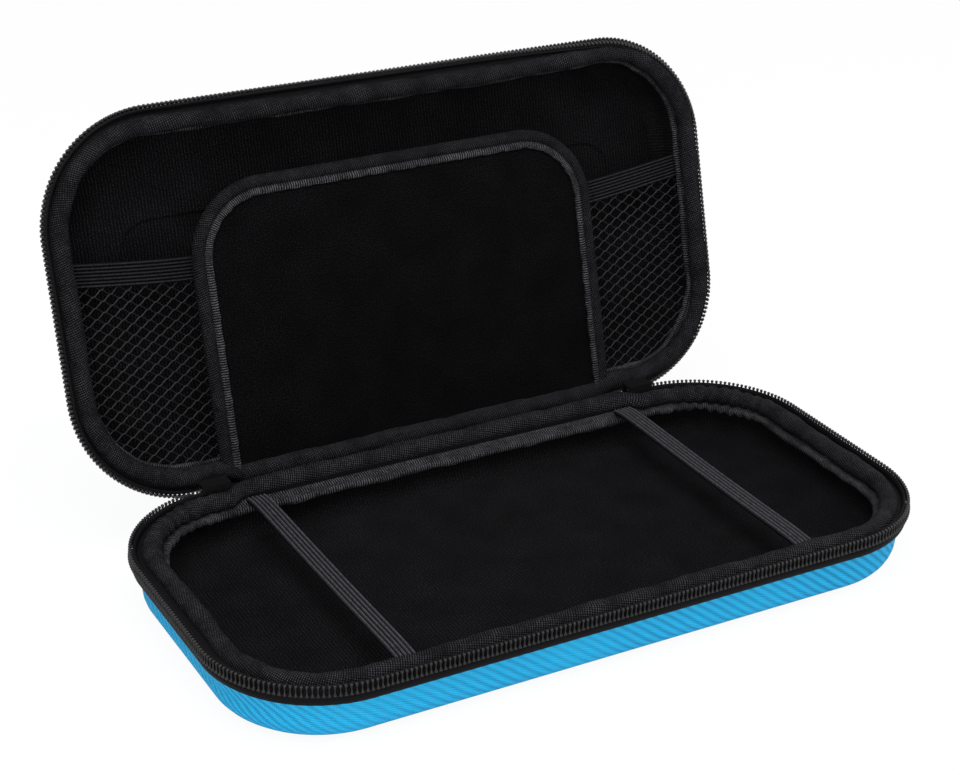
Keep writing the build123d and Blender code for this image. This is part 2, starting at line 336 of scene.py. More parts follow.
def blue_twill():
    """Blue twill: slanted ribs, broken by dark dashes between them, over fine crossing threads.
    A whole number of ribs goes round the wall, so they meet where the wall's map ends."""
    material, tree, shader, uv = cloth_material("blue_twill", (0.02, 0.32, 0.59), 0.75, 0.10)
    slant = (0.634, 0.773)
    ribs_round = 173
    ribs = ridges(tree, uv, slant, slant[0] * rim_length / ribs_round)
    dash = ridges(tree, uv, (-0.95, 0.31), 0.0008)
    weft = ridges(tree, uv, (0.2, 1.0), 0.0008)
    place = tree.nodes.new("ShaderNodeTexCoord")
    patch = speckle(tree, place.outputs["Object"], 16, 1)
    grain = speckle(tree, uv, 1500, 2)
    line = math_node(tree, "POWER", math_node(tree, "SUBTRACT", 1.0, ribs), 1.4)
    broken = math_node(tree, "MULTIPLY", line, math_node(tree, "MULTIPLY_ADD", dash, 0.75, 0.25))
    strong = math_node(tree, "MULTIPLY_ADD", patch, 1.5, -0.05)
    strong.node.use_clamp = True
    dark = math_node(tree, "MULTIPLY", broken, strong)
    fine = math_node(tree, "MULTIPLY", math_node(tree, "MULTIPLY", dash, weft), grain)
    tone = math_node(tree, "SUBTRACT", math_node(tree, "MULTIPLY_ADD", fine, 1.5, 0.52), dark)
    tone.node.use_clamp = True
    two_tone(tree, shader, tone, (0.007, 0.15, 0.32), (0.022, 0.42, 0.72))
    height = math_node(tree, "SUBTRACT", fine, math_node(tree, "MULTIPLY", dark, 0.8))
    emboss(tree, shader, height, 0.00030, 0.6)
    return material


twill = blue_twill()
outer = tub_profile(0, 0, floor_round)
for half, panel in (("base", 0.0), ("lid", panel_press)):
    inner = tub_profile(shell_wall, floor_thick[half], floor_round - shell_wall)
    piece = tub_skin(f"{half}_shell_cloth", half, outer, inner, panel)
    dress(piece, twill, half, "blue_cloth", f"{half}_shell")

# Linings: black brushed knit laminated to the foam before moulding, so it follows the tub all over.
# The knit's wales show as faint streaks up the walls.
lining = 0.001


def black_knit(name, wale, level):
    """Brushed black knit: a nap of stray fibres over wales that show as broken columns of dots."""
    material, tree, shader, uv = cloth_material(name, (0.004, 0.004, 0.0045), 1.0, 0.015)
    stray = speckle(tree, uv, 160, 3)
    column = ridges(tree, uv, (1, 0), 0.0012, stray, 6.0)
    fuzz = speckle(tree, uv, 2200, 3)
    cloud = speckle(tree, uv, 60, 2)
    columns = math_node(tree, "MULTIPLY_ADD", column, wale, 1.0 - 0.5 * wale)
    nap = math_node(tree, "MULTIPLY", fuzz, columns)
    sharp = math_node(tree, "POWER", math_node(tree, "MULTIPLY", nap, 1.45), 5.0)
    tone = math_node(tree, "MULTIPLY", sharp, math_node(tree, "MULTIPLY_ADD", cloud, 1.4, 0.2))
    tone.node.use_clamp = True
    dark = (0.0022 * level, 0.0022 * level, 0.0025 * level)
    light = (0.022 * level, 0.0215 * level, 0.024 * level)
    two_tone(tree, shader, tone, dark, light)
    emboss(tree, shader, nap, 0.00040, 0.8)
    return material


lid_knit = black_knit("lid_knit", 0.34, 0.70)
tray_knit = black_knit("tray_knit", 0.2, 0.80)
face = shell_wall + lining
for half, panel, knit in (("base", 0.0, tray_knit), ("lid", -panel_press, lid_knit)):
    skin = tub_profile(shell_wall, floor_thick[half], floor_round - shell_wall)
    inside = tub_profile(face, floor_thick[half] + lining, floor_round - face)
    piece = tub_skin(f"{half}_lining_knit", half, inside, skin, panel)
    dress(piece, knit, half, "black_knit", f"{half}_lining")

# Zip tapes: flat woven polyester, sewn round the top of each wall and standing up to carry the teeth.
# A smooth black band of tape shows between the blue cloth and the teeth.
slider_room = 0.0004
slider_low, slider_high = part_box("zip_slider_right")
zip_end = {"base": slider_low.x - slider_room, "lid": slider_high.x + slider_room}


def window(stations, middle, reach):
    """Smooth bump along the rim, 1 at its middle and 0 past its reach."""
    share = np.clip(1 - np.abs(np.asarray(stations) - middle) / reach, 0, 1)
    return share * share * (3 - 2 * share)


def right_side(stations):
    """1 along the right side and its corners, fading to 0 past them."""
    return np.clip(2 * window(stations, 0.18, 0.14), 0, 1)


def flare(half, stations):
    """How far the open zip's free edge stands out from the wall, or is drawn in where it is negative."""
    if half == "base":
        return 0.0005 * window(stations, rim_length / 2, 0.11)
    return 0.0014 * window(stations, 0.46, 0.19) - 0.0024 * right_side(stations)


def edge_points(section, places, outs, stations, shift):
    """Points (stop, point, xyz) of a closed (out, depth) section set along an edge.
    shift(k, stations) moves the section's point k."""
    verts = np.zeros((len(places), len(section), 3))
    for k, (out, depth) in enumerate(section):
        d_out, d_depth = shift(k, stations) if shift else (0, 0)
        verts[:, k, :2] = places + outs * (np.zeros(len(places)) + out + d_out)[:, None]
        verts[:, k, 2] = depth + d_depth
    return verts


def carried(name, verts, section, runs, angle):
    """Closed section carried along a run, from its points (stop, point, xyz) in place. The UV map goes
    along the run and round the section. A run with one stop more than the points goes right round,
    and any other is capped at both ends."""
    n, m = verts.shape[:2]
    step = [0.0]
    for a, b in zip(section, section[1:] + section[:1]):
        step.append(step[-1] + math.hypot(b[0] - a[0], b[1] - a[1]))
    faces, uvs = [], []
    for i, (s0, s1) in enumerate(zip(runs[:-1], runs[1:])):
        j = (i + 1) % n
        for k in range(m):
            q = (k + 1) % m
            faces.append((i * m + k, j * m + k, j * m + q, i * m + q))
            uvs += [(s0, step[k]), (s1, step[k]), (s1, step[k + 1]), (s0, step[k + 1])]
    if len(runs) == n:
        for i in (0, n - 1):
            faces.append(tuple(i * m + k for k in range(m)))
            uvs += [(runs[i], step[k]) for k in range(m)]
    piece = new_piece(name, verts.reshape(-1, 3), faces, uvs)
    face_outwards(piece)
    smooth(piece, angle)
    return piece


def sweep(name, half, section, stations, closed_run, shift=None):
    """Closed section carried round the rim of a half."""
    verts = edge_points(section, *rim_run(stations), stations, shift)
    runs = np.append(stations, 2 * stations[-1] - stations[-2]) if closed_run else stations
    return carried(name, HALVES[half](verts).reshape(verts.shape), section, runs, 50)


def black_tape():
    """Tight woven tape with a slight shine: fine warp lines and a slanted weave."""
    material, tree, shader, uv = cloth_material("black_tape", (0.005, 0.005, 0.006), 0.6, 0.05)
    warp = ridges(tree, uv, (0, 1), 0.0006)
    slant = ridges(tree, uv, (1, 0.7), 0.0009)
    weave = math_node(tree, "MULTIPLY", warp, slant)
    two_tone(tree, shader, weave, (0.0022, 0.0022, 0.0026), (0.0095, 0.0092, 0.011))
    emboss(tree, shader, weave, 0.00010, 0.5)
    return material


tape = black_tape()
tape_section = [
    (-0.0002, 0.0078),
    (0.0006, 0.0080),
    (0.0012, 0.0073),
    (0.0013, 0.0062),
    (0.0012, 0.0052),
    (0.0006, 0.0044),
    (0.0004, 0.0026),
    (0.0002, 0.0012),
    (-0.0003, 0.0010),
    (-0.0008, 0.0016),
    (-0.0008, 0.0040),
    (0.0002, 0.0050),
]


def lean_in(k, stations, half):
    """The lapped foot of the tape lies on the drafted wall, and the free edge bows with the zip.
    The lid's tape is cut low where the sliders are parked, so that it shuts over them."""
    depth = tape_section[k][1]
    if depth > rim_drop:
        return -wall_lean(depth), 0
    cut_depth, cut_fade = 0.0030, 0.003
    run = np.minimum(stations, rim_length - np.asarray(stations))
    low = np.clip((zip_end["lid"] + cut_fade - run) / cut_fade, 0, 1) if half == "lid" else 0.0
    sink = max(cut_depth - depth, 0) * low
    return flare(half, stations) * (rim_drop - depth) / rim_drop, sink


for half in ("base", "lid"):
    stations = np.linspace(zip_end["base"], rim_length - zip_end["base"], 700)
    piece = sweep(
        f"{half}_zip_tape_woven", half, tape_section, stations, False,
        lambda k, s, h=half: lean_in(k, s, h),
    )
    dress(piece, tape, half, "black_webbing", f"{half}_zip_tape")

# Zip teeth: one long nylon monofilament, wound and pressed into loops that are sewn to the tape.
# Each loop shows as a bar with swollen ends, and the ends stand just past the tape's edge.
tooth_pitch = 0.0016
tooth_half = (0.0007, 0.0010)
end_room = 0.001


def ring_faces(rows, sides):
    """Faces of a closed bar made of rows of points round it, with its two ends capped."""
    faces = []
    for i in range(rows - 1):
        for k in range(sides):
            q = (k + 1) % sides
            faces.append((i * sides + k, i * sides + q, (i + 1) * sides + q, (i + 1) * sides + k))
    faces.append(tuple(range(sides)))
    faces.append(tuple((rows - 1) * sides + k for k in range(sides)))
    return faces


def tooth_shape():
    """One loop of the filament, in (out, towards the other half, along) axes."""
    low, high = np.array((0.0014, -0.0043)), np.array((0.0010, -0.0005))
    along = (high - low) / np.linalg.norm(high - low)
    across = np.array((along[1], -along[0]))
    verts = []
    stops = (0.0, 0.07, 0.17, 0.30, 0.50, 0.70, 0.83, 0.93, 1.0)
    wides = (0.40, 0.72, 0.62, 0.32, 0.27, 0.30, 0.52, 0.58, 0.30)
    thicks = (0.40, 0.90, 0.95, 0.60, 0.50, 0.60, 0.95, 0.90, 0.40)
    sides = 8
    for t, wide, thick in zip(stops, wides, thicks):
        centre = low + (high - low) * t
        for k in range(sides):
            turn = 2 * math.pi * k / sides
            spot = centre + across * (tooth_half[0] * thick * math.cos(turn))
            verts.append((spot[0], spot[1], tooth_half[1] * wide * math.sin(turn)))
    return verts, ring_faces(len(stops), sides)


def along_path_tree(name, shape):
    """Node tree that sets copies of a shape along a path, a pitch apart, with X outwards."""
    tree = bpy.data.node_groups.new(name, "GeometryNodeTree")
    tree.interface.new_socket("Path", in_out="INPUT", socket_type="NodeSocketGeometry")
    pitch = tree.interface.new_socket("Pitch", in_out="INPUT", socket_type="NodeSocketFloat")
    finish = tree.interface.new_socket("Finish", in_out="INPUT", socket_type="NodeSocketMaterial")
    tree.interface.new_socket("Pieces", in_out="OUTPUT", socket_type="NodeSocketGeometry")
    add = tree.nodes.new
    start, end = add("NodeGroupInput"), add("NodeGroupOutput")
    curve, even = add("GeometryNodeMeshToCurve"), add("GeometryNodeResampleCurve")
    upright, spots = add("GeometryNodeSetCurveNormal"), add("GeometryNodeCurveToPoints")
    put, real = add("GeometryNodeInstanceOnPoints"), add("GeometryNodeRealizeInstances")
    paint = add("GeometryNodeSetMaterial")
    stock = add("GeometryNodeObjectInfo")
    stock.inputs["Object"].default_value = shape
    even.mode = "LENGTH"
    upright.mode = "Z_UP"
    spots.mode = "EVALUATED"
    link = tree.links.new
    link(start.outputs["Path"], curve.inputs["Mesh"])
    link(curve.outputs["Curve"], even.inputs["Curve"])
    link(start.outputs["Pitch"], even.inputs["Length"])
    link(even.outputs["Curve"], upright.inputs["Curve"])
    link(upright.outputs["Curve"], spots.inputs["Curve"])
    link(spots.outputs["Points"], put.inputs["Points"])
    link(spots.outputs["Rotation"], put.inputs["Rotation"])
    link(stock.outputs["Geometry"], put.inputs["Instance"])
    link(put.outputs["Instances"], real.inputs["Geometry"])
    link(real.outputs["Geometry"], paint.inputs["Geometry"])
    link(start.outputs["Finish"], paint.inputs["Material"])
    link(paint.outputs["Geometry"], end.inputs["Pieces"])
    return tree, pitch.identifier, finish.identifier


def grown(name, half, lines, tree, settings, sway=None):
    """Plain mesh, in place, that a node tree makes of lines drawn in a half, with its inputs set by
    identifier. sway(spots) may lean the result over, still in the half's own axes."""
    holder = bpy.data.objects.new(lines.name, lines)
    bpy.context.scene.collection.objects.link(holder)
    modifier = holder.modifiers.new("grow", "NODES")
    modifier.node_group = tree
    for socket, value in settings.items():
        modifier[socket] = value
    graph = bpy.context.evaluated_depsgraph_get()
    mesh = bpy.data.meshes.new_from_object(holder.evaluated_get(graph))
    holder.modifiers.remove(modifier)
    bpy.data.objects.remove(holder)
    spots = np.empty(len(mesh.vertices) * 3)
    mesh.vertices.foreach_get("co", spots)
    spots = spots.reshape(-1, 3)
    if sway:
        spots = sway(spots)
    mesh.vertices.foreach_set("co", HALVES[half](spots).ravel())
    mesh.name = name
    piece = bpy.data.objects.new(name, mesh)
    bpy.context.scene.collection.objects.link(piece)
    face_outwards(piece)
    piece.data.shade_smooth()
    return piece


def set_along(name, half, path, shape, pitch, material, sway=None):
    """Copies of a small shape along a path drawn in a half, as one plain mesh in place."""
    stock_mesh = bpy.data.meshes.new(f"{name}_one")
    stock_mesh.from_pydata([tuple(v) for v in shape[0]], [], shape[1])
    stock_mesh.shade_smooth()
    stock = bpy.data.objects.new(f"{name}_one", stock_mesh)
    bpy.context.scene.collection.objects.link(stock)
    line = bpy.data.meshes.new(f"{name}_path")
    line.from_pydata(np.asarray(path).tolist(), [(i, i + 1) for i in range(len(path) - 1)], [])
    tree, pitch_id, finish_id = along_path_tree(name, stock)
    piece = grown(name, half, line, tree, {pitch_id: pitch, finish_id: material}, sway)
    bpy.data.objects.remove(stock)
    return piece


def nylon():
    """Black nylon filament: smooth, with a satin shine and slight scuffs."""
    material = bpy.data.materials.new("black_nylon")
    material.use_nodes = True
    tree = material.node_tree
    shader = tree.nodes["Principled BSDF"]
    shader.inputs["Specular IOR Level"].default_value = 0.22
    place = tree.nodes.new("ShaderNodeTexCoord")
    scuff = speckle(tree, place.outputs["Object"], 900, 3)
    two_tone(tree, shader, scuff, (0.003, 0.003, 0.0034), (0.016, 0.016, 0.0175))
    rough = math_node(tree, "MULTIPLY_ADD", scuff, 0.25, 0.18)
    tree.links.new(rough, shader.inputs["Roughness"])
    return material


filament = nylon()
tooth = tooth_shape()
for half in ("base", "lid"):
    stations = np.linspace(zip_end[half] + end_room, rim_length - zip_end[half] - end_room, 1500)
    path = np.column_stack((rim_run(stations)[0], np.zeros(len(stations))))

    def sway(spots, half=half, first=stations[0], last=stations[-1]):
        """Leans each tooth with the tape behind it."""
        teeth = len(spots) // len(tooth[0])
        runs = np.repeat(np.linspace(first, last, teeth), len(tooth[0]))
        lean = flare(half, runs) * (rim_drop - spots[:, 2]) / rim_drop
        moved = spots.copy()
        moved[:, :2] += rim_run(runs)[1] * lean[:, None]
        return moved

    piece = set_along(f"{half}_zip_teeth", half, path, tooth, tooth_pitch, filament, sway)
    dress(piece, filament, half, "zip_coil", f"{half}_zip_coil")

# Rim bindings: woven tape folded over the raw edges of foam, lining and zip, and sewn through.
# Outside the seam it is a soft roll, and inside it the tape's edge stands off as a gathered lip.
roll_middle = (-0.0053, 0.0035)
roll_size = (0.0032, 0.0031)
hinge_press = {"base": 0.0046, "lid": 0.0032}


def wander(stations, seed, waves):
    """Slow unevenness along a hand-guided seam, repeating once round the rim."""
    total = np.zeros(len(stations))
    for i, (count, size) in enumerate(waves):
        phase = seed * (i + 1) * 1.7
        total += size * np.sin(2 * math.pi * count * np.asarray(stations) / rim_length + phase)
    return total


def grosgrain(name, slant, pitch, cross, light):
    """Woven binding: bright threads in rows over a dark ground, uneven from patch to patch."""
    material, tree, shader, uv = cloth_material(name, (0.012, 0.012, 0.013), 0.75, 0.03)
    stray = speckle(tree, uv, 220, 2)
    ribs = ridges(tree, uv, (1, slant), pitch, stray, 6.0)
    warp = ridges(tree, uv, (-0.3, 1), 0.0008, stray, 5.0)
    patch = speckle(tree, uv, 130, 3)
    fleck = speckle(tree, uv, 900, 2)
    weave = math_node(tree, "MULTIPLY", ribs, math_node(tree, "MULTIPLY_ADD", warp, cross, 1.0 - cross))
    thread = math_node(tree, "POWER", weave, 1.6)
    bright = math_node(tree, "POWER", math_node(tree, "MULTIPLY", patch, fleck), 1.5)
    tone = math_node(tree, "MULTIPLY", thread, math_node(tree, "MULTIPLY", bright, 7.0))
    tone.node.use_clamp = True
    two_tone(tree, shader, tone, (0.0022, 0.0022, 0.0026), light)
    emboss(tree, shader, weave, 0.00034, 0.9)
    return material


# The lid's roll is the base's binding cloth painted darker: painted shade for the dimmer light inside the
# open lid.
roll_cloth_lit_and_shaded = {
    "base": grosgrain("base_binding_roll", 0.3, 0.0008, 0.75, (0.058, 0.056, 0.063)),
    "lid": grosgrain("lid_binding_roll", 0.3, 0.0008, 0.75, (0.046, 0.0445, 0.050)),
}
lip_cloth = grosgrain("binding_lip", 0.0, 0.0009, 0.30, (0.086, 0.084, 0.093))
ring_count, roll_sides = 1400, 16
ring = np.arange(ring_count) / ring_count * rim_length
roll_section = []
for i in range(roll_sides):
    turn = 2 * math.pi * i / roll_sides
    roll_section.append(
        (roll_middle[0] + roll_size[0] * math.cos(turn), roll_middle[1] - roll_size[1] * math.sin(turn))
    )
margin_section = [
    (0.0002, 0.0051),
    (0.0002, 0.0040),
    (-0.0008, 0.0032),
    (-0.0019, 0.0028),
    (-0.0031, 0.0030),
    (-0.0042, 0.0038),
    (-0.0042, 0.0051),
]
lip_section = [
    (-0.0062, 0.0058),
    (-0.0076, 0.0063),
    (-0.0087, 0.0060),
    (-0.0096, 0.0058),
    (-0.0103, 0.0063),
    (-0.0105, 0.0072),
    (-0.0101, 0.0081),
    (-0.0092, 0.0084),
    (-0.0081, 0.0079),
    (-0.0068, 0.0074),
    (-0.0055, 0.0070),
    (-0.0043, 0.0066),
    (-0.0043, 0.0056),
]


def at_hinge(half, stations):
    """1 along the cloth hinge. The lid's fades to 0 before the sliders, which need the room as it
    shuts, and the base's a little later, against the sliders themselves."""
    later, fade = 0.004, 0.009
    end = zip_end["base"] + (later if half == "base" else 0.0)
    run = np.minimum(stations, rim_length - np.asarray(stations))
    share = np.clip((end - run) / fade, 0, 1)
    return share * share * (3 - 2 * share)


def seam_drift(half, stations):
    """How far the seam strays: in round the base's left end, and out at the sides of the lid."""
    if half == "base":
        return -0.0016 * window(stations, 0.53, 0.09)
    return 0.0016 * right_side(stations) + 0.0010 * window(stations, 0.50, 0.20)


def gathers(half, stations):
    """Tucks where the base's binding is eased round its two rear corners, a few millimetres apart."""
    tuck_pitch = 0.0052
    corners = window(stations, 0.118, 0.042) + window(stations, rim_length - 0.118, 0.042)
    size = 0.00042 if half == "base" else 0.00012
    return size * corners * np.sin(2 * math.pi * np.asarray(stations) / tuck_pitch)


def roll_shift(k, stations, half):
    """Slow swelling along the roll, which at the hinge is pressed out against the other half's."""
    swell = wander(stations, 2.0, ((17, 0.00020), (41, 0.00013), (83, 0.00008)))
    swell = swell + 0.0003 * at_hinge(half, stations) + gathers(half, stations)
    out, depth = roll_section[k]
    aside = (out - roll_middle[0]) / roll_size[0]
    below = (depth - roll_middle[1]) / roll_size[1]
    press = hinge_press[half] * at_hinge(half, stations)
    flat = np.minimum(0.0050 - depth, 0) * at_hinge(half, stations)
    deeper = np.maximum(swell * below, 0.0003 - depth) + flat
    return press + seam_drift(half, stations) + swell * aside, deeper


def lip_shift(k, stations, half):
    """Gentle waves along the lip's free edge; the lid's lip is drawn back under its roll."""
    free = np.clip((-lip_section[k][0] - 0.0064) / 0.0038, 0, 1)
    curl = wander(stations, 5.0, ((19, 0.00022), (47, 0.00014)))
    hang = wander(stations, 8.0, ((23, 0.00022), (61, 0.00012)))
    tuck = 0.0012 * free if half == "lid" else 0.0
    return seam_drift(half, stations) + curl * free + tuck, (hang + 1.3 * gathers(half, stations)) * free


for half in ("base", "lid"):
    margin = sweep(f"{half}_binding_margin", half, margin_section, ring, True)
    dress(margin, tape, half, "black_webbing", f"{half}_rim_binding")
    roll = sweep(
        f"{half}_binding_roll", half, roll_section, ring, True,
        lambda k, s, h=half: roll_shift(k, s, h),
    )
    dress(roll, roll_cloth_lit_and_shaded[half], half, "black_webbing", f"{half}_rim_binding")
    lip = sweep(
        f"{half}_binding_lip", half, lip_section, ring, True,
        lambda k, s, h=half: lip_shift(k, s, h),
    )
    dress(lip, lip_cloth, half, "black_webbing", f"{half}_rim_binding")

# Tray straps: ribbed woven elastic stretched across the base from rim to rim.
# Their ends are caught in the seam of the binding.
strap_rise, strap_ribs = 0.0016, 5
strap_sag, strap_end_dip = 0.0006, 0.0012
strap_tuck = 0.001


def elastic_section(width, thick, ribs, steps=6):
    """Closed (across, rise) section of ribbed elastic: round cords side by side, flat below."""
    points = []
    for i in range(ribs * steps + 1):
        t = i / (ribs * steps)
        points.append((width * (t - 0.5), thick * (0.35 + 0.65 * abs(math.sin(math.pi * ribs * t)))))
    points += [(width / 2, 0), (-width / 2, 0)]
    return points


def band_between(name, section, line, ups, sides):
    """Carries a section along a line, with its own up and side directions at each point."""
    verts = np.stack([line + sides * across + ups * rise for across, rise in section], axis=1)
    run = np.concatenate(([0], np.cumsum(np.linalg.norm(np.diff(line, axis=0), axis=1))))
    piece = carried(name, verts, section, run, 60)
    # The crest attribute, 0 at the foot of the section and 1 at the top of its cords, masks the elastic's
    # painted highlight and painted shade.
    crest = piece.data.attributes.new("crest", "FLOAT", "POINT")
    top = max(rise for across, rise in section)
    crest.data.foreach_set("value", np.tile([rise / top for across, rise in section], len(line)))
    return piece


def ribbed_elastic(name, light):
    """Black elastic with cross threads, painted bright on the crests of the cords and dark in the
    grooves: painted highlight and painted shade.
    """
    material, tree, shader, uv = cloth_material(name, (0.01, 0.01, 0.011), 0.75, 0.03)
    cross = ridges(tree, uv, (1, 0), 0.0008)
    fuzz = speckle(tree, uv, 900, 2)
    crest = tree.nodes.new("ShaderNodeAttribute")
    crest.attribute_name = "crest"
    # Painted highlight on the crests of the cords and painted shade in the grooves between them.
    high = math_node(tree, "POWER", crest.outputs["Fac"], 3.0)
    thread = math_node(tree, "MULTIPLY", math_node(tree, "MULTIPLY_ADD", cross, 0.5, 0.5), fuzz)
    tone = math_node(tree, "MULTIPLY", high, math_node(tree, "MULTIPLY", thread, 2.0))
    tone.node.use_clamp = True
    two_tone(tree, shader, tone, (0.002, 0.002, 0.0023), light)
    emboss(tree, shader, cross, 0.00012, 0.7)
    return material


elastic = ribbed_elastic("strap_elastic", (0.074, 0.072, 0.081))
for side in ("left", "right"):
    low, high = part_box(f"strap_{side}")
    middle = (low.x + high.x) / 2
    stops = 60
    t = np.linspace(0, 1, stops)
    reach = low.y - strap_tuck + t * (high.y - low.y + 2 * strap_tuck)
    height = low.z - strap_sag * np.sin(math.pi * t) - strap_end_dip * np.abs(2 * t - 1) ** 12
    line = np.column_stack((np.full(stops, middle), reach, height))
    ups = np.tile((0.0, 0.0, 1.0), (stops, 1))
    sides = np.tile((1.0, 0.0, 0.0), (stops, 1))
    section = elastic_section(high.x - low.x, strap_rise, strap_ribs)
    piece = band_between(f"strap_{side}_elastic", section, line, ups, sides)
    dress(piece, elastic, "base", "black_webbing", f"strap_{side}")

# Lid pocket: a stretched net of knitted cord, sewn into the lid's binding at the foot and sides.
# Ribbed elastic along its mouth keeps it shut.
net_depth = 0.0096
net_inset = 0.0050
net_top = 0.0140
net_drop = 0.085
band_width = 0.0085
cell_wide, cell_tall = 0.0063, 0.0039
knot_half = 0.0004
cord_radius = 0.00025


def net_tree():
    """Node tree: each side of the net's diamonds becomes a round cord."""
    tree = bpy.data.node_groups.new("pocket_net", "GeometryNodeTree")
    tree.interface.new_socket("Sheet", in_out="INPUT", socket_type="NodeSocketGeometry")
    thick = tree.interface.new_socket("Cord radius", in_out="INPUT", socket_type="NodeSocketFloat")
    finish = tree.interface.new_socket("Finish", in_out="INPUT", socket_type="NodeSocketMaterial")
    tree.interface.new_socket("Net", in_out="OUTPUT", socket_type="NodeSocketGeometry")
    add = tree.nodes.new
    start, end = add("NodeGroupInput"), add("NodeGroupOutput")
    lines, ring = add("GeometryNodeMeshToCurve"), add("GeometryNodeCurvePrimitiveCircle")
    tube = add("GeometryNodeCurveToMesh")
    real, paint = add("GeometryNodeRealizeInstances"), add("GeometryNodeSetMaterial")
    ring.inputs["Resolution"].default_value = 5
    link = tree.links.new
    link(start.outputs["Sheet"], lines.inputs["Mesh"])
    link(start.outputs["Cord radius"], ring.inputs["Radius"])
    link(lines.outputs["Curve"], tube.inputs["Curve"])
    link(ring.outputs["Curve"], tube.inputs["Profile Curve"])
    link(tube.outputs["Mesh"], real.inputs["Geometry"])
    link(real.outputs["Geometry"], paint.inputs["Geometry"])
    link(start.outputs["Finish"], paint.inputs["Material"])
    link(paint.outputs["Geometry"], end.inputs["Net"])
    return tree, thick.identifier, finish.identifier


def band_line(along):
    """Front coordinate of the elastic's middle: it dips between its sewn ends, most at the flap."""
    t = np.abs(np.asarray(along, float)) / (half_length - net_inset)
    return 0.0098 + 0.0052 * np.clip((t - 0.62) / 0.38, 0, 1) ** 1.3


def net_sag(along, front):
    """The stretched net dips a little towards the lid's floor between its sewn edges, and passes
    behind the elastic that its top edge is sewn to."""
    side = np.clip((half_length - net_inset - np.abs(along)) / 0.03, 0, 1)
    foot = np.clip((front + half_width - net_inset) / 0.03, 0, 1)
    behind = np.clip((front - band_line(along) + band_width / 2 + 0.001) / 0.002, 0, 1)
    return 0.0022 * side * foot + 0.0012 * behind


def in_pocket(along, front):
    """True where a point lies on the pocket's sheet, inside the rounded foot corners."""
    past_x = max(abs(along) - (half_length - corner), 0)
    past_y = max(-front - (half_width - corner), 0)
    return front < float(band_line(along)) and math.hypot(past_x, past_y) < corner - net_inset


def net_cells():
    """Points and sides of the net's strands, and the painted light level at each point: 1 on a strand
    that lies in front and 0.3 on one behind.
    Strands run level through each knot, which rounds the holes. Those that rise to the right lie in
    front; the others pass behind them and are painted darker, as painted shade."""
    points, edges, strand_painted_light = [], [], []
    columns = int(2 * half_length / cell_wide) + 2
    rows = int(2 * net_drop / cell_tall) + 2
    for aside, lift, front in ((-1, -0.00020, 1.0), (1, 0.00020, 0.3)):
        seen = {}
        for row in range(rows):
            for column in range(-columns, columns + 1):
                x, y = column * cell_wide / 2, net_top - row * cell_tall / 2
                if (row + column) % 2 == 0 and in_pocket(x, y):
                    seen[row, column] = len(points)
                    edges.append((len(points), len(points) + 1))
                    for end in (x - aside * knot_half, x + aside * knot_half):
                        points.append((end, y, net_depth + lift + float(net_sag(end, y))))
                        strand_painted_light.append(front)
        for (row, column), first in seen.items():
            below = seen.get((row + 1, column + aside))
            if below is not None:
                edges.append((first + 1, below))
    return points, edges, strand_painted_light


def net_cord():
    """Knitted nylon cord: black with a dull shine, painted darker on the strands that lie behind, as
    painted shade.
    """
    material = bpy.data.materials.new("net_cord")
    material.use_nodes = True
    tree = material.node_tree
    shader = tree.nodes["Principled BSDF"]
    shader.inputs["Specular IOR Level"].default_value = 0.06
    place = tree.nodes.new("ShaderNodeTexCoord")
    twist = speckle(tree, place.outputs["Object"], 1400, 2)
    # The front attribute carries painted shade: the strands behind are painted darker than those in
    # front.
    front = tree.nodes.new("ShaderNodeAttribute")
    front.attribute_name = "front"
    tone = math_node(tree, "MULTIPLY", twist, front.outputs["Fac"])
    two_tone(tree, shader, tone, (0.0022, 0.0022, 0.0025), (0.045, 0.044, 0.049))
    rough = math_node(tree, "MULTIPLY_ADD", twist, 0.2, 0.5)
    tree.links.new(rough, shader.inputs["Roughness"])
    return material


cord = net_cord()
points, edges, strand_painted_light = net_cells()
sheet = bpy.data.meshes.new("net_lines")
sheet.from_pydata(points, edges, [])
sheet.attributes.new("front", "FLOAT", "POINT").data.foreach_set("value", strand_painted_light)
tree, thick_id, finish_id = net_tree()
net = grown("pocket_net", "lid", sheet, tree, {thick_id: cord_radius, finish_id: cord})
dress(net, cord, "lid", "black_webbing", "mesh_pocket")

band_reach = half_length - net_inset
band_rise, band_ribs = 0.0016, 7


def band_depth(along):
    """Depth of the elastic's back: even along its middle, and nearer the rim at its sewn ends."""
    return 0.0102 + 0.0018 * (1 - (along / band_reach) ** 8)


stops = 160
x = np.linspace(-1, 1, stops) * band_reach
line = in_lid(np.column_stack((x, band_line(x), band_depth(x))))
middle, toward_rim, toward_front = in_lid([(0, 0, 0), (0, 0, -1), (0, 1, 0)])
piece = band_between(
    "pocket_elastic_band", elastic_section(band_width, band_rise, band_ribs), line,
    np.tile(toward_rim - middle, (stops, 1)), np.tile(toward_front - middle, (stops, 1)),
)
pocket_cloth = ribbed_elastic("pocket_elastic", (0.024, 0.0235, 0.027))
dress(piece, pocket_cloth, "lid", "black_webbing", "pocket_elastic")


def stitch_shape(length, radius):
    """One stitch: a short thread that is round in section and dives into the cloth at both ends."""
    sides, rows = 6, ((-0.5, 0.3), (-0.3, 0.9), (0.0, 1.0), (0.3, 0.9), (0.5, 0.3))
    verts = []
    for along, wide in rows:
        for k in range(sides):
            turn = 2 * math.pi * k / sides
            verts.append((radius * wide * math.cos(turn), radius * wide * math.sin(turn), length * along))
    return verts, ring_faces(len(rows), sides)


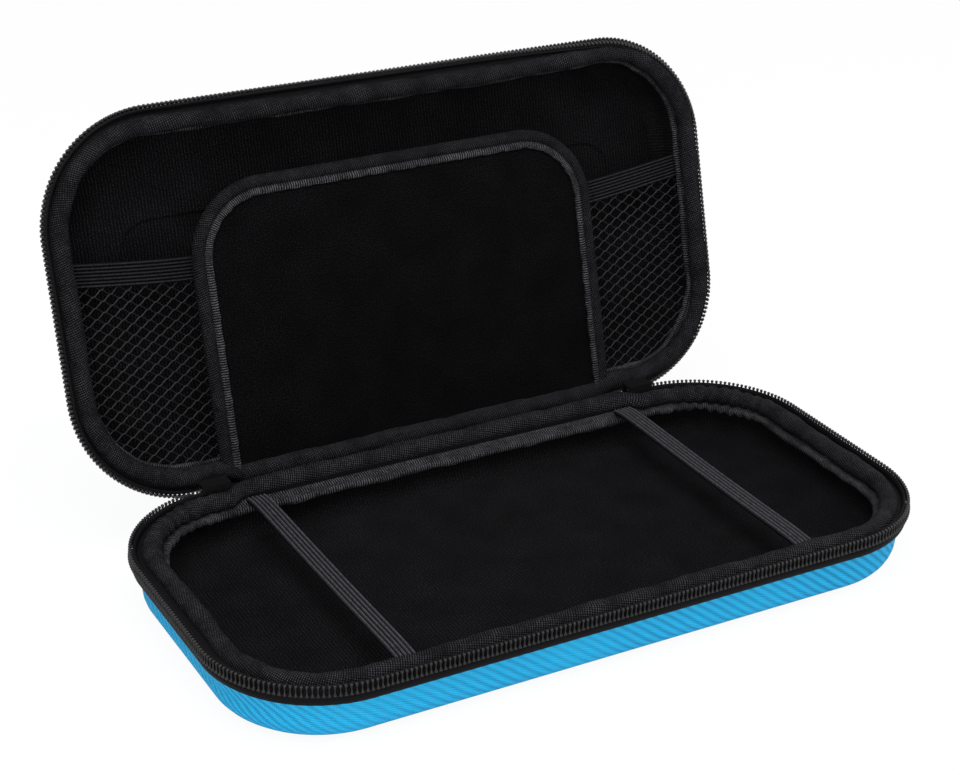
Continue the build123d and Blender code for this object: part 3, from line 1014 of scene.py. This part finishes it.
stitch_length, stitch_pitch, stitch_radius = 0.0014, 0.0022, 0.00022
seam_end, seam_lift = 0.002, 0.0014
seam_reach = band_reach - seam_end
x = np.linspace(-seam_reach, seam_reach, 400)
seam = np.column_stack((x, band_line(x) - band_width * 3 / band_ribs, band_depth(x) - seam_lift))
stitch = stitch_shape(stitch_length, stitch_radius)
stitches = set_along("pocket_stitches", "lid", seam, stitch, stitch_pitch, filament)
dress(stitches, filament, "lid", "black_webbing")

# Padded flap: thin foam between two faces of black knit, sewn along its foot to the lid's binding.
# Its other edges are bound like the rims, with a roll outside the seam and a ribbed lip inside.
flap_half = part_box("flap_binding")[1].x
flap_foot = -0.0615
flap_top = 0.0388
flap_corner = 0.028
flap_face = 0.0016
flap_back = 0.0064


def flap_run(shares):
    """Places, outward directions and length of the flap's bound edge. It goes from the right foot over
    the top to the left one, and shares are parts of its length."""
    half, radius, top = flap_half, flap_corner, flap_top
    side, bend = top - radius - flap_foot, math.pi / 2 * radius
    ends = np.cumsum([side, bend, 2 * (half - radius), bend, side])
    places, outs = [], []
    for share in shares:
        run = share * ends[-1]
        leg = min(int(np.searchsorted(ends, run, side="right")), 4)
        past = run - (ends[leg - 1] if leg else 0)
        if leg == 0:
            places.append((half, flap_foot + past))
            outs.append((1, 0))
        elif leg == 2:
            places.append((half - radius - past, top))
            outs.append((0, 1))
        elif leg == 4:
            places.append((-half, top - radius - past))
            outs.append((-1, 0))
        else:
            turn = past / radius + (0 if leg == 1 else math.pi / 2)
            centre = half - radius if leg == 1 else radius - half
            outs.append((math.cos(turn), math.sin(turn)))
            places.append((centre + radius * math.cos(turn), top - radius + radius * math.sin(turn)))
    return np.array(places), np.array(outs), ends[-1]


def flap_edge_sweep(name, section, count, shift=None):
    """Closed section carried along the flap's bound edge."""
    shares = np.linspace(0, 1, count)
    places, outs, whole = flap_run(shares)
    verts = edge_points(section, places, outs, shares * rim_length, shift)
    return carried(name, in_lid(verts).reshape(verts.shape), section, shares * whole, 60)


pad_middle = (flap_face + flap_back) / 2
pad_half = (flap_back - flap_face) / 2
flap_roll_half = (0.0024, pad_half * 1.05)
flap_roll_sides = 14
flap_roll = []
for i in range(flap_roll_sides):
    turn = 2 * math.pi * i / flap_roll_sides
    out = flap_roll_half[0] * (math.cos(turn) - 1)
    flap_roll.append((out, pad_middle - flap_roll_half[1] * math.sin(turn)))
flap_lip = [
    (-0.0042, flap_face + 0.0008),
    (-0.0050, flap_face + 0.0001),
    (-0.0059, flap_face - 0.0002),
    (-0.0067, flap_face + 0.0002),
    (-0.0067, flap_face + 0.0010),
    (-0.0056, flap_face + 0.0016),
    (-0.0042, flap_face + 0.0016),
]


def flap_lip_shift(k, stations):
    """Gentle waves along the free edge of the flap's lip."""
    free = max((-flap_lip[k][0] - 0.0045) / 0.0033, 0)
    return (
        wander(stations, 3.0, ((31, 0.00012), (67, 0.00010))) * free,
        wander(stations, 6.0, ((37, 0.00020), (89, 0.00012))) * free,
    )


# The flap's roll is the rim's binding cloth painted darker still: painted shade on the flap.
flap_roll_cloth_shaded = grosgrain("flap_binding_roll", 0.3, 0.0008, 0.75, (0.038, 0.037, 0.041))
piece = flap_edge_sweep("flap_binding_roll", flap_roll, 500)
dress(piece, flap_roll_cloth_shaded, "lid", "black_webbing", "flap_binding")
piece = flap_edge_sweep("flap_binding_lip", flap_lip, 900, flap_lip_shift)
dress(piece, lip_cloth, "lid", "black_webbing", "flap_binding")


def slab_faces(rows, columns):
    """Faces of a slab of two skins, each a grid of points given row by row, joined round the border."""
    skin = rows * columns
    faces = []
    for first in (0, skin):
        for r in range(rows - 1):
            for c in range(columns - 1):
                a = first + r * columns + c
                quad = (a, a + 1, a + columns + 1, a + columns)
                faces.append(quad[::-1] if first else quad)
    border = list(range(columns))
    border += [r * columns + columns - 1 for r in range(1, rows)]
    border += [(rows - 1) * columns + c for c in range(columns - 2, -1, -1)]
    border += [r * columns for r in range(rows - 2, 0, -1)]
    for a, b in zip(border, border[1:] + border[:1]):
        faces.append((a, a + skin, b + skin, b))
    return faces


rows, columns = 61, 91
pad_inset = 0.0030
pad_radius = flap_corner - pad_inset
front_step, front_crown = 0.0014, 0.0011
back_step, back_crown = 0.0012, 0.0008
verts = []
for side in (0, 1):
    for v in np.linspace(0, 1, rows):
        y = flap_foot + v * (flap_top - pad_inset - flap_foot)
        past = max(y - (flap_top - flap_corner), 0)
        reach = flap_half - flap_corner + math.sqrt(max(pad_radius**2 - past**2, 0))
        for u in np.linspace(-1, 1, columns):
            x = u * reach
            crown = (1 - u**6) * (1 - (2 * v - 1) ** 6)
            wave = 0.00022 * math.sin(41 * x + 3) * math.sin(57 * y + 1)
            wave += 0.00012 * math.sin(130 * x - 90 * y)
            depth = flap_face + front_step + (wave - front_crown) * crown
            if side:
                depth = flap_back - back_step + back_crown * crown
            verts.append((x, y, depth))
faces = slab_faces(rows, columns)
uvs = [(verts[v][0], verts[v][1]) for quad in faces for v in quad]
pad = new_piece("flap_pad_knit", in_lid(np.array(verts)), faces, uvs)
face_outwards(pad)
smooth(pad, 60)
dress(pad, black_knit("flap_knit", 0.05, 0.40), "lid", "black_knit", "flap_pad")

# Hinge strip: one piece of black tape sewn to both rear walls, which bends as the lid swings; here it is
# built once, in its bend with the lid open.
# It shows between the halves at the back and inside the open gap.
strip_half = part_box("hinge_strip")[1].x
rear = half_width + 0.0004
lap = 0.009
corners = [
    in_base([(0, -rear + wall_lean(lap), lap)])[0],
    in_base([(0, -rear, rim_drop)])[0],
    in_lid([(0, -rear, rim_drop)])[0],
    in_lid([(0, -rear + wall_lean(lap), lap)])[0],
]
corners[1] = corners[1] + np.array((0, 0, -0.0004))
steps, stops = 40, 120
half_thick, ripple = 0.0003, 0.00008
bend = []
for i in range(steps):
    t = i / (steps - 1) * 3
    leg = min(int(t), 2)
    bend.append(corners[leg] + (corners[leg + 1] - corners[leg]) * (t - leg))
bend = np.array(bend)
for _ in range(3):
    bend[1:-1] = (bend[:-2] + 2 * bend[1:-1] + bend[2:]) / 4
run = np.concatenate(([0], np.cumsum(np.linalg.norm(np.diff(bend, axis=0), axis=1))))
verts = []
for skin in (-half_thick, half_thick):
    for i in range(steps):
        ahead = bend[min(i + 1, steps - 1)] - bend[max(i - 1, 0)]
        up = np.cross((1, 0, 0), ahead / np.linalg.norm(ahead))
        for x in np.linspace(-strip_half, strip_half, stops):
            wave = ripple * math.sin(900 * x) * math.sin(math.pi * i / (steps - 1))
            spot = bend[i] + up * (skin + wave)
            verts.append((x, spot[1], spot[2]))
faces = slab_faces(steps, stops)
uvs = [(verts[v][0], run[v // stops % steps]) for quad in faces for v in quad]
strip = new_piece("hinge_strip_tape", verts, faces, uvs)
face_outwards(strip)
smooth(strip, 60)
strip.data.materials.append(tape)
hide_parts("hinge_strip")
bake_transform(strip)

# Sliders and pulls: small zinc castings, black enamelled, parked at the zip's two ends by the hinge.
# Each pull hangs from the bail and swings.


def black_enamel():
    """Black enamel on a zinc casting: satin, with faint mottling."""
    material = bpy.data.materials.new("black_enamel")
    material.use_nodes = True
    tree = material.node_tree
    shader = tree.nodes["Principled BSDF"]
    shader.inputs["Metallic"].default_value = 0.6
    place = tree.nodes.new("ShaderNodeTexCoord")
    mottle = speckle(tree, place.outputs["Object"], 1200, 3)
    two_tone(tree, shader, mottle, (0.004, 0.004, 0.0045), (0.014, 0.014, 0.015))
    rough = math_node(tree, "MULTIPLY_ADD", mottle, 0.25, 0.25)
    tree.links.new(rough, shader.inputs["Roughness"])
    return material


enamel = black_enamel()
for node in ("zip_slider_left", "zip_slider_right", "zip_pull_left", "zip_pull_right"):
    casting = frame["nodes"][node]
    casting.data.materials.clear()
    casting.data.materials.append(enamel)

# Studio: a plain white floor, soft light from above and the front, and the photograph's viewpoint.
scene = bpy.context.scene
scene.view_settings.view_transform = "Standard"


def in_view(tree):
    """1 where the background is seen straight, in a reflection or through something clear."""
    path = tree.nodes.new("ShaderNodeLightPath")
    straight, mirrored = path.outputs["Is Camera Ray"], path.outputs["Is Glossy Ray"]
    either_way = math_node(tree, "MAXIMUM", straight, mirrored)
    return math_node(tree, "MAXIMUM", either_way, path.outputs["Is Transmission Ray"])


floor_half, floor_level = 6, -0.0002
floor_corners = []
for x, y in ((-1, -1), (1, -1), (1, 1), (-1, 1)):
    floor_corners.append((x * floor_half, y * floor_half, floor_level))
floor_mesh = bpy.data.meshes.new("floor")
floor_mesh.from_pydata(floor_corners, [], [(0, 1, 2, 3)])
floor = bpy.data.objects.new("floor", floor_mesh)
scene.collection.objects.link(floor)
white = bpy.data.materials.new("white_floor")
white.use_nodes = True
nodes, links = white.node_tree.nodes, white.node_tree.links
nodes["Principled BSDF"].inputs["Base Color"].default_value = (0.9, 0.9, 0.9, 1)
nodes["Principled BSDF"].inputs["Roughness"].default_value = 0.9
glow = nodes.new("ShaderNodeEmission")
glow.inputs["Color"].default_value = (1, 1, 1, 1)
glow.inputs["Strength"].default_value = 1.0
either = nodes.new("ShaderNodeMixShader")
shadow_share = 0.07
white_share = math_node(white.node_tree, "MULTIPLY", in_view(white.node_tree), 1 - shadow_share)
links.new(white_share, either.inputs["Fac"])
links.new(nodes["Principled BSDF"].outputs["BSDF"], either.inputs[1])
links.new(glow.outputs["Emission"], either.inputs[2])
links.new(either.outputs["Shader"], nodes["Material Output"].inputs["Surface"])
floor.data.materials.append(white)

world = bpy.data.worlds.new("studio")
world.use_nodes = True
scene.world = world
nodes, links = world.node_tree.nodes, world.node_tree.links
nodes["Background"].inputs["Color"].default_value = (1, 1, 1, 1)
nodes["Background"].inputs["Strength"].default_value = 0.45
backdrop = nodes.new("ShaderNodeBackground")
backdrop.inputs["Color"].default_value = (1, 1, 1, 1)
either = nodes.new("ShaderNodeMixShader")
links.new(in_view(world.node_tree), either.inputs["Fac"])
links.new(nodes["Background"].outputs["Background"], either.inputs[1])
links.new(backdrop.outputs["Background"], either.inputs[2])
links.new(either.outputs["Shader"], nodes["World Output"].inputs["Surface"])


def lamp(name, place, aim, power, size):
    light = bpy.data.lights.new(name, "AREA")
    light.energy = power
    light.size = size
    item = bpy.data.objects.new(name, light)
    item.location = place
    item.rotation_euler = (Vector(aim) - Vector(place)).to_track_quat("-Z", "Y").to_euler()
    scene.collection.objects.link(item)


lamp("soft_top", (-0.25, -0.35, 1.2), (0, 0.03, 0.05), 14, 0.9)
lamp("soft_front", (-0.9, -1.1, 0.55), (0, 0.03, 0.05), 9, 0.8)
lamp("soft_right", (1.1, -0.5, 0.7), (0, 0.03, 0.06), 6, 0.7)

view_turn, view_rise, view_roll = math.radians(-28.52), math.radians(25.55), math.radians(0.4)
view_reach = 0.7428
view_aim = Vector((-0.0024, 0.030, 0.05827))
turned = Matrix.Rotation(view_turn, 3, "Z") @ Matrix.Rotation(math.pi / 2 - view_rise, 3, "X")
camera = bpy.data.cameras.new("camera")
camera.sensor_width = 36
camera.lens = 81.67
camera.clip_start = 0.01
viewer = bpy.data.objects.new("camera", camera)
viewer.location = view_aim + turned @ Vector((0, 0, view_reach))
viewer.rotation_euler = (turned @ Matrix.Rotation(view_roll, 3, "Z")).to_euler()
scene.collection.objects.link(viewer)
scene.camera = viewer
